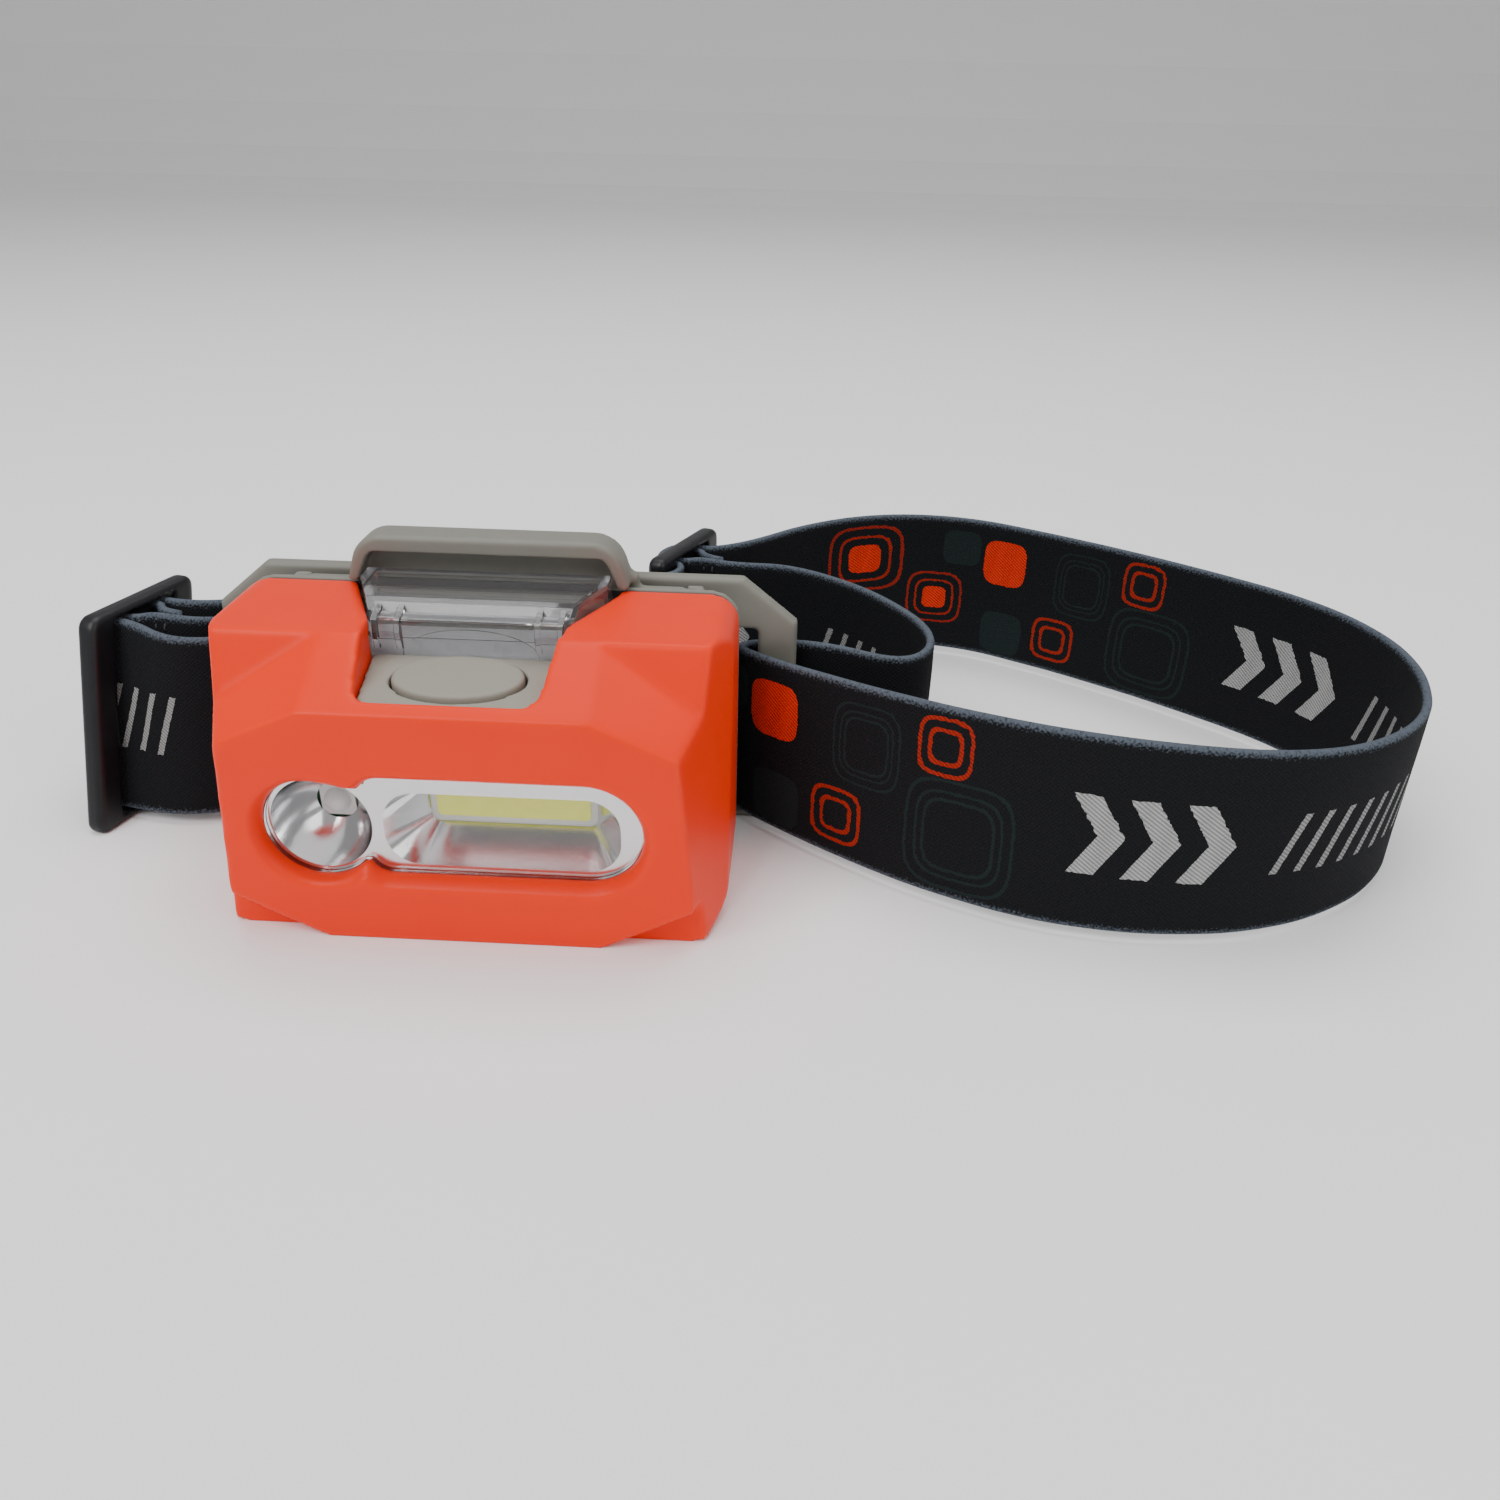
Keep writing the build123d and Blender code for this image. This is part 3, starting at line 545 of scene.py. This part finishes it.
def stitches(slider, side, lean):
    """Rows of short stitches that hold a strap's fold, on one face of the doubled strap."""
    rings, around = 6, 6
    vertices, faces = [], []
    for row in STITCH_ROWS:
        for number in range(STITCHES):
            low = STRAP_Z + FIRST_STITCH + number * STITCH_PITCH
            v = row + 0.1 * (number % 2)
            base = len(vertices)
            for i in range(rings + 1):
                bend = sin(pi * i / rings)
                z = low + STITCH_LENGTH * i / rings
                vertices += stitch_ring(slider, side, v, z, bend, lean, around)
            for i in range(rings):
                a = base + i * around
                faces += tube_faces(a, a + around, around)
            faces.append([base + k for k in range(around)][::-1])
            faces.append([base + rings * around + k for k in range(around)])
    mesh = bpy.data.meshes.new("stitches")
    mesh.from_pydata(vertices, [], faces)
    return mesh


# ---- pad -----------------------------------------------------------------------------------------

PAD_RINGS = 30
PAD_AROUND = 96
PAD_FOOT = 0.97         # the pad's foot, as a share of its widest part
CHANNEL = 0.86          # where the sewn channel runs, as a share of the way out


def pad_height(share):
    """How far out of the bracket the pad stands at a share of the way out, from 0 to 1."""
    crown = (1 - share ** 8) ** 0.5
    channel = 0.30 * max(0.0, 1 - abs(share - CHANNEL) / 0.035)
    puff = 0.04 * sin(pi * min(1.0, (CHANNEL - share) / CHANNEL)) if share < CHANNEL else 0.0
    return 0.30 + 0.66 * crown + puff - channel


def pad_width(i):
    """How wide the pad's ring i is: the first three round its side, the others close over its top."""
    share = 1 - (i / PAD_RINGS)
    if i >= 3:
        return share
    return PAD_FOOT + (1 - PAD_FOOT) * sin(pi * min(1.0, (1 - share ** 8) ** 0.5))


def pad_mesh(low, high):
    """A crowned pad with a sewn channel inside its rim, flat where it lies on the bracket."""
    middle = (low + high) / 2
    half_x, half_z = (high.x - low.x) / 2, (high.z - low.z) / 2
    depth = high.y - low.y
    levels = [(PAD_FOOT, low.y)]
    for i in range(PAD_RINGS):
        levels.append((pad_width(i), low.y + depth * pad_height(1 - (i / PAD_RINGS))))
    vertices = []
    for share, y in levels:
        for k in range(PAD_AROUND):
            a = 2 * pi * k / PAD_AROUND
            c, s = cos(a), sin(a)
            r = (abs(c) ** 5 + abs(s) ** 5) ** -0.2
            vertices.append((middle.x + half_x * share * r * c, y, middle.z + half_z * share * r * s))
    vertices.append((middle.x, low.y + depth * 0.97, middle.z))
    faces = []
    for i in range(PAD_RINGS):
        for k in range(PAD_AROUND):
            n = (k + 1) % PAD_AROUND
            a, b = i * PAD_AROUND, (i + 1) * PAD_AROUND
            faces.append((a + k, b + k, b + n, a + n))
    last = PAD_RINGS * PAD_AROUND
    for k in range(PAD_AROUND):
        faces.append((last + k, len(vertices) - 1, last + (k + 1) % PAD_AROUND))
    faces.append(list(range(PAD_AROUND)))
    mesh = bpy.data.meshes.new("pad")
    mesh.from_pydata(vertices, [], faces)
    return mesh


# ---- put together --------------------------------------------------------------------------------

ORANGE = shell_plastic()
# edge: how strong the painted highlight on convex edges is
GREY = plastic("grey_plastic", (0.185, 0.182, 0.155), shift=0.05, rough=0.50,
               grain_mm=0.30, grain_depth=0.02, edge=0.25, Specular_IOR_Level=0.3)
SOFT_GREY = plastic("soft_grey", (0.265, 0.255, 0.215), shift=0.05, rough=0.62,
                    grain_mm=0.25, grain_depth=0.03, Specular_IOR_Level=0.3)
BLACK = plastic("black_plastic", (0.006, 0.0065, 0.008), shift=0.15, rough=0.38,
                grain_mm=0.35, grain_depth=0.03, edge=0.12, Specular_IOR_Level=0.35)
CLEAR = clear("clear_plastic", (0.95, 0.95, 0.96), rough=0.03, through=0.97)
PANE = clear("window_clear", (0.98, 0.98, 0.98), rough=0.02, through=1.0, index=1.12)
SILVER = metal("reflector_silver", (0.74, 0.74, 0.75), rough=0.16)
STEEL = metal("steel", (0.55, 0.55, 0.56), rough=0.32, brush_mm=0.25, depth=0.02)
CONTACT = metal("contact_metal", (0.72, 0.70, 0.66), rough=0.28, brush_mm=0.2, depth=0.02)
BOARD = plastic("board_green", (0.03, 0.17, 0.07), shift=0.12, rough=0.40, grain_mm=0.5, grain_depth=0.02)
WHITE = plastic("board_white", (0.80, 0.80, 0.78), shift=0.04, rough=0.35, grain_mm=0.4, grain_depth=0.01)
RUBBER = plastic("gasket_rubber", (0.018, 0.018, 0.018), shift=0.2, rough=0.75,
                 grain_mm=0.3, grain_depth=0.03)
RED_WIRE = plastic("wire_red", (0.50, 0.02, 0.015), shift=0.1, rough=0.45, grain_mm=0.3, grain_depth=0.01)
BLACK_WIRE = plastic("wire_black", (0.015, 0.015, 0.015), shift=0.1, rough=0.45,
                     grain_mm=0.3, grain_depth=0.01)
THREAD = plastic("thread", (0.03, 0.032, 0.038), shift=0.3, rough=0.8, grain_mm=0.12, grain_depth=0.05)
YELLOW = phosphor()
SLEEVE = sleeve()
FOAM = foam_cloth()
WEBBING = webbing_cloth()

# CAD nodes that show as they are
KEPT = {
    PANE: ["front_lens"],
    SILVER: ["reflector"],
    WHITE: ["spot_led", "cob_plate"],
    YELLOW: ["cob_phosphor"],
    BOARD: ["light_board", "main_board"],
    BLACK: ["tact_switch"],
    CLEAR: ["clear_case"],
    CONTACT: ["contact_plates", "contact_springs"],
    RUBBER: ["shell_gasket", "tilt_washers"],
    STEEL: ["housing_screws", "hinge_pins"],
    SLEEVE: ["cell_1", "cell_2", "cell_3"],
    BLACK_WIRE: ["lead_left"],
    RED_WIRE: ["lead_right"],
}
for material, names in KEPT.items():
    for name in names:
        NODES[name].data.materials.clear()
        NODES[name].data.materials.append(material)

moulded("front_shell", 0.45, 5, ORANGE, "head")
moulded("rear_housing", 0.45, 3, GREY, "head")
moulded("switch_panel", 0.25, 3, SOFT_GREY, "head")
moulded("button", 0.22, 5, SOFT_GREY, "button")
moulded("battery_door", 0.36, 4, GREY, "battery_door")
moulded("bracket", 0.36, 4, GREY, "strap_and_bracket")
left_slider = moulded("slider_left", 0.30, 4, BLACK, "strap_and_bracket", lean_back)
rear_slider = moulded("slider_rear", 0.30, 4, BLACK, "strap_and_bracket")

strap_line = smooth_line(strap_route(), step=0.8)
strap = new_piece("strap", strap_mesh(strap_line), WEBBING, "strap_and_bracket")
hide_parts("strap_small_loop", "strap_head_front", "strap_head_back",
            "strap_rear_run", "strap_left")
for name, slider, lean in (("left", SLIDER_LEFT, LEAN), ("rear", SLIDER_REAR, 0.0)):
    for side in (-1, 1):
        rows = stitches(slider, side, lean)
        tack = new_piece(f"bar_tack_{name}_{side + 2}", rows, THREAD, "strap_and_bracket")

pad = new_piece("pad_cushion", pad_mesh(*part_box("forehead_pad")), FOAM, "strap_and_bracket")
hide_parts("forehead_pad")


# ---- floor, light and camera ---------------------------------------------------------------------

def floor():
    """A light floor that curves up into a wall behind."""
    mesh = bpy.data.meshes.new("floor")
    half, curve, back, top = 3.0, 0.6, 1.2, 2.5
    rows = [(-half, 0.0), (back, 0.0)]
    rows += [(back + curve * sin(a), curve * (1 - cos(a))) for a in (radians(d) for d in range(10, 91, 10))]
    rows.append((back + curve, top))
    vertices = [(x, y, z) for y, z in rows for x in (-half, half)]
    faces = [(2 * i, 2 * i + 1, 2 * i + 3, 2 * i + 2) for i in range(len(rows) - 1)]
    mesh.from_pydata(vertices, [], faces)
    m = Nodes("floor", Roughness=0.8)
    m.set("Base Color", m.mix(m.noise(60.0), rgba(0.90, 0.90, 0.90), rgba(0.93, 0.93, 0.93)))
    sweep = bpy.data.objects.new("floor", mesh)
    mesh.materials.append(m.material)
    bpy.context.scene.collection.objects.link(sweep)


def area_light(name, at, target, size, watts):
    data = bpy.data.lights.new(name, "AREA")
    data.shape = "RECTANGLE"
    data.size, data.size_y = size
    data.energy = watts
    light = bpy.data.objects.new(name, data)
    light.location = at
    light.rotation_mode = "QUATERNION"
    light.rotation_quaternion = (Vector(target) - Vector(at)).to_track_quat("-Z", "Y")
    bpy.context.scene.collection.objects.link(light)


def world(strength):
    made = bpy.data.worlds.new("studio")
    made.use_nodes = True
    background = made.node_tree.nodes["Background"]
    background.inputs[0].default_value = (1.0, 1.0, 1.0, 1.0)
    background.inputs[1].default_value = strength
    bpy.context.scene.world = made


def camera():
    """Close in front of the lamp, a little right of it, looking down at it."""
    heading, pitch, roll = radians(2.29), radians(28.4), radians(1.3)
    ahead = Vector((-sin(heading) * cos(pitch), cos(heading) * cos(pitch), -sin(pitch)))
    level = Vector((cos(heading), sin(heading), 0.0))
    lift = level.cross(ahead)
    right = level * cos(roll) + lift * sin(roll)
    up = lift * cos(roll) - level * sin(roll)
    data = bpy.data.cameras.new("camera")
    data.sensor_width = 36.0
    data.lens = 28.8
    data.clip_start = 0.005
    seen = bpy.data.objects.new("camera", data)
    seen.matrix_world = Matrix((right, up, -ahead)).transposed().to_4x4()
    seen.location = (0.0397, -0.1321, 0.0928)
    bpy.context.scene.collection.objects.link(seen)
    bpy.context.scene.camera = seen


floor()
world(0.45)
area_light("key", (-0.35, -0.45, 0.70), (0.0, 0.0, 0.02), (0.5, 0.5), watts=5.2)
area_light("fill", (0.60, -0.35, 0.45), (0.05, 0.02, 0.02), (0.5, 0.5), watts=1.6)
area_light("top", (0.05, 0.20, 0.80), (0.05, 0.03, 0.0), (0.7, 0.5), watts=4.2)
camera()
